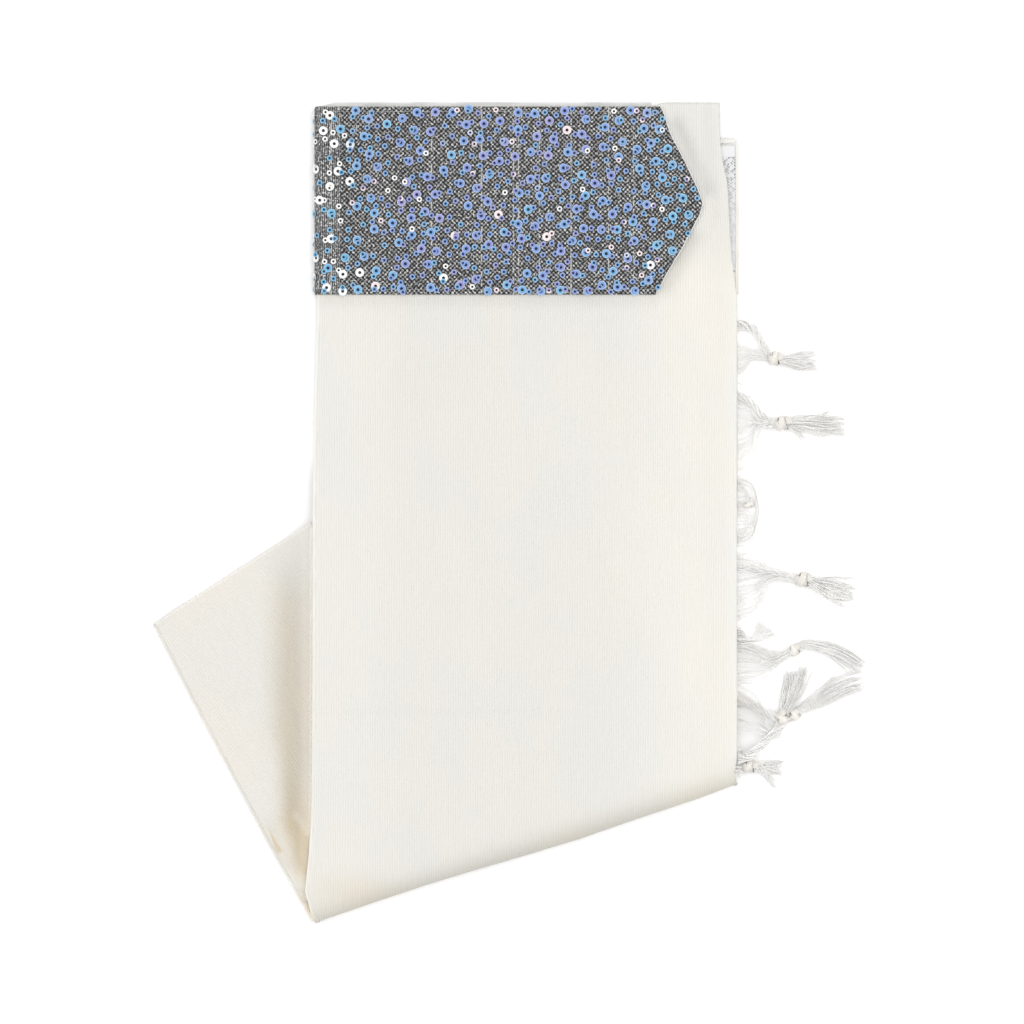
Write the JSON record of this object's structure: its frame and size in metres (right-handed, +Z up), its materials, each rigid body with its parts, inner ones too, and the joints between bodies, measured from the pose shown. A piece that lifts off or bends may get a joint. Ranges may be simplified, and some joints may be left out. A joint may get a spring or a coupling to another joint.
{
  "type": "folded tallit prayer shawl",
  "caption": "Off-white fringed prayer shawl folded lengthwise into a flat strip, its lower part folded behind, with a pointed sequinned neckband on top.",
  "frame": {"origin": "centre of the bounding box, on the surface that the folded shawl lies on", "axes": "+X to the fringed short edge, +Y to the neckband edge, +Z up"},
  "size_m": [0.3832, 0.4384, 0.0129],
  "materials": {
    "shawl_cloth": "off-white rib weave, matt",
    "hidden_cloth": "the same cloth in shade",
    "band_back": "light grey woven back of the neckband",
    "brocade": "silver metallic brocade",
    "band_cloth": "charcoal and light grey basket weave with iridescent blue sequins",
    "fringe_thread": "white twisted thread"
  },
  "bodies": {
    "root": {"front_panel": "shawl_cloth", "leg_panel": "shawl_cloth", "main_folds": "hidden_cloth", "leg_folds": "hidden_cloth", "back_edge_panel": "hidden_cloth", "top_layer": "band_back", "corner_patch": "brocade", "neckband": "band_cloth", "tassel_1": "fringe_thread", "tassel_2": "fringe_thread", "tassel_3": "fringe_thread", "tassel_4": "fringe_thread", "tassel_5": "fringe_thread", "tassel_6": "fringe_thread", "tassel_7": "fringe_thread", "tassel_8": "fringe_thread", "corner_tuft": "fringe_thread"}
  },
  "joints": []
}
